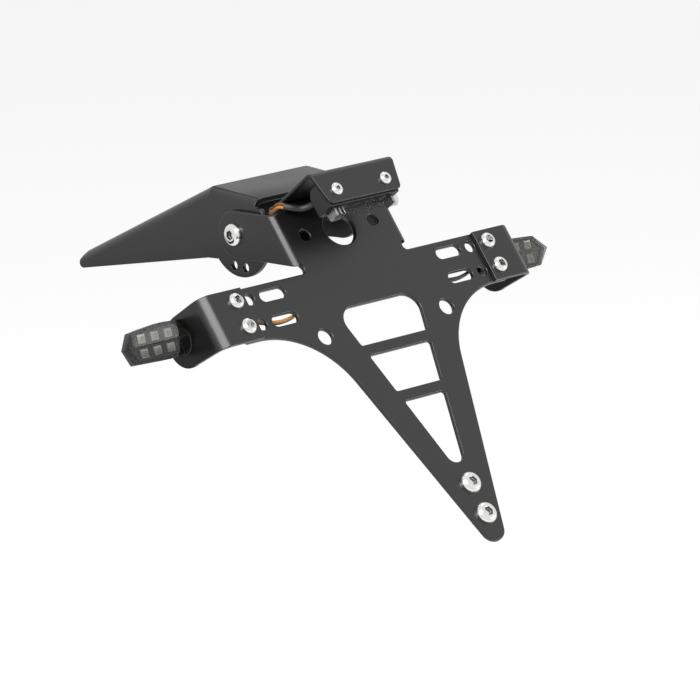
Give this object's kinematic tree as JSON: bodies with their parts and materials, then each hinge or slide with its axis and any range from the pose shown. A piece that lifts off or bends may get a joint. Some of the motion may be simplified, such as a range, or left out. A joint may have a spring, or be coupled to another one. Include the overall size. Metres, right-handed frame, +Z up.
{
  "type": "tail tidy",
  "caption": "Folded black sheet carrier for a number plate that tilts on a bracket under the tail, with smoked side lamps on folded legs and a plate lamp under a small hood",
  "frame": {"origin": "Middle of the four mounting holes, on the top face of the tail bracket's sloping roof", "axes": "+X to the right, along the pivot and the arms. +Y forward, the way the bracket runs under the tail. +Z up"},
  "size_m": [0.3194, 0.311, 0.1906],
  "materials": {
    "black_sheet": "satin",
    "steel": "satin",
    "black_plastic": "matte",
    "smoked_lens": "gloss",
    "clear_lens": "gloss",
    "board": "satin",
    "lead_cover": "satin"
  },
  "bodies": {
    "tail": {"tail_bracket": "black_sheet", "pivot_bolt_left": "steel", "pivot_bolt_right": "steel", "pivot_nut_left": "steel", "pivot_nut_right": "steel"},
    "carrier": {"carrier_plate": "black_sheet", "lamp_hood": "black_sheet", "hood_screws": "steel", "hood_nuts": "steel", "plate_lamp_housing": "black_plastic", "plate_lamp_lens": "clear_lens", "plate_lamp_board": "board", "plate_lamp_screws": "steel", "side_bracket_left": "black_sheet", "side_bracket_right": "black_sheet", "side_lamp_housing_left": "black_plastic", "side_lamp_housing_right": "black_plastic", "side_lamp_lens_left": "smoked_lens", "side_lamp_lens_right": "smoked_lens", "side_lamp_board_left": "board", "side_lamp_board_right": "board", "stud_nut_left": "steel", "stud_nut_right": "steel", "arm_bolts_left": "steel", "arm_bolts_right": "steel", "arm_nuts_left": "steel", "arm_nuts_right": "steel", "plate_bolts": "steel", "plate_nuts": "steel", "lamp_leads_left": "lead_cover", "lamp_leads_right": "lead_cover", "plate_lamp_leads": "lead_cover", "lead_connector": "black_plastic"}
  },
  "joints": [
    {"name": "carrier_tilt", "type": "hinge", "parent": "tail", "child": "carrier", "pos_m": [0, -0.07943, 0.00656], "axis": [1, 0, 0], "range_deg": [-15, 15]}
  ]
}
